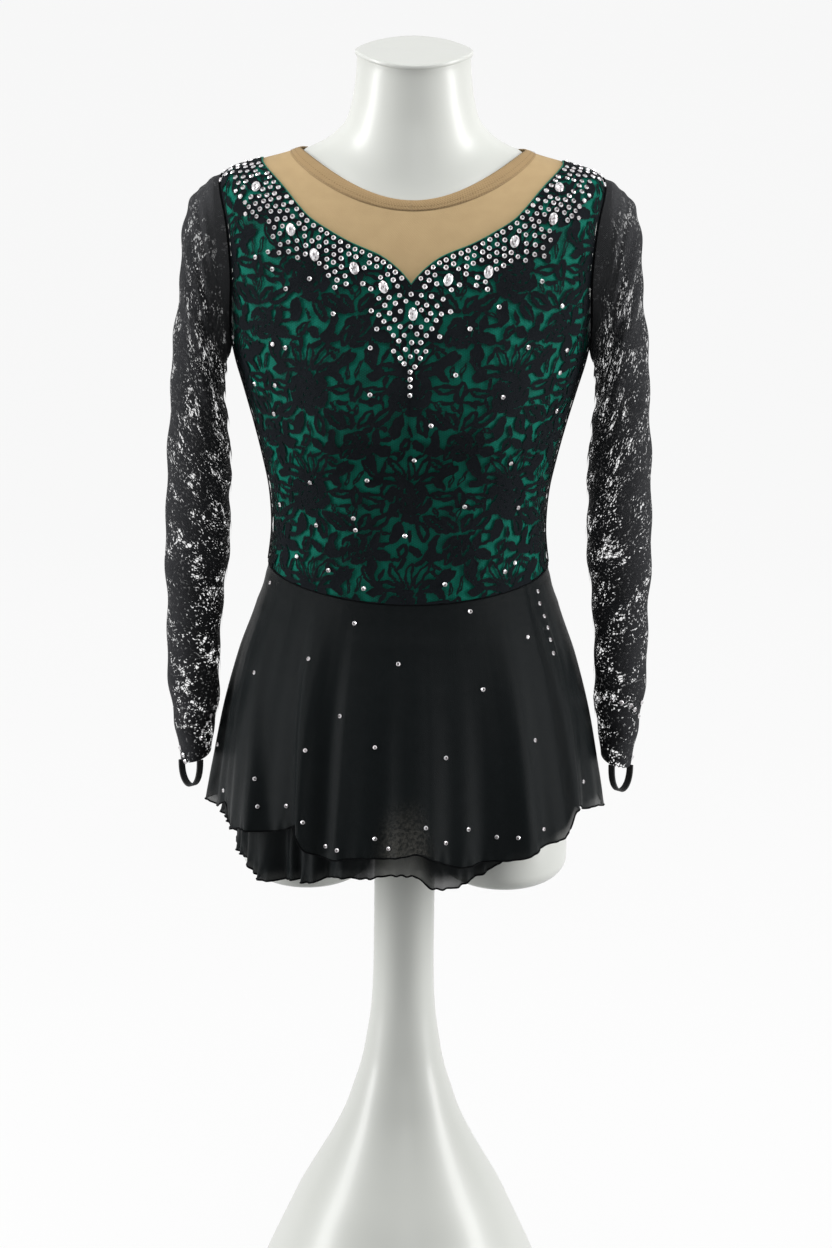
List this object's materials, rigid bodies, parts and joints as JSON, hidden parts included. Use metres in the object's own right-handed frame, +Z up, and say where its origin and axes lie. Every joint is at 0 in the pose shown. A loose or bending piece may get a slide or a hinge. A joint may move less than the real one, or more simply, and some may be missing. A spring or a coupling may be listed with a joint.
{
  "type": "figure skating dress on a limbless dress form",
  "caption": "Long-sleeved skating dress with lace over a green lining, nude yoke and short flared skirt, on a glossy limbless dress form with a stand.",
  "frame": {"origin": "middle of the stand's flat underside, on the floor", "axes": "+Z up, the front of the dress looks along -Y, its own left side is towards +X"},
  "size_m": [0.4344, 0.322, 1.229],
  "materials": {
    "form_gloss": "glossy white lacquered fibreglass",
    "green_lining": "matte green stretch lining",
    "black_lace": "black floral stretch lace, dull, open net ground",
    "nude_mesh": "fine nude power mesh, matte",
    "nude_binding": "folded and topstitched nude binding",
    "black_crepe": "black chiffon crepe, matte, soft folds",
    "black_chiffon": "thin black chiffon with a rolled, rippled hem",
    "black_elastic": "flat black covered elastic",
    "rhinestone": "clear foiled rhinestones with bright facets"
  },
  "bodies": {
    "root": {"form_torso": "form_gloss", "stand": "form_gloss", "bodice_lining_front": "green_lining", "bodice_lining_back": "green_lining", "bodice_lace_front": "black_lace", "bodice_lace_back": "black_lace", "yoke_front": "nude_mesh", "yoke_back": "nude_mesh", "neck_binding": "nude_binding", "sleeve_left_front": "black_lace", "sleeve_left_back": "black_lace", "sleeve_right_front": "black_lace", "sleeve_right_back": "black_lace", "finger_loop_left": "black_elastic", "finger_loop_right": "black_elastic", "skirt_upper": "black_crepe", "skirt_under": "black_chiffon"}
  },
  "joints": []
}
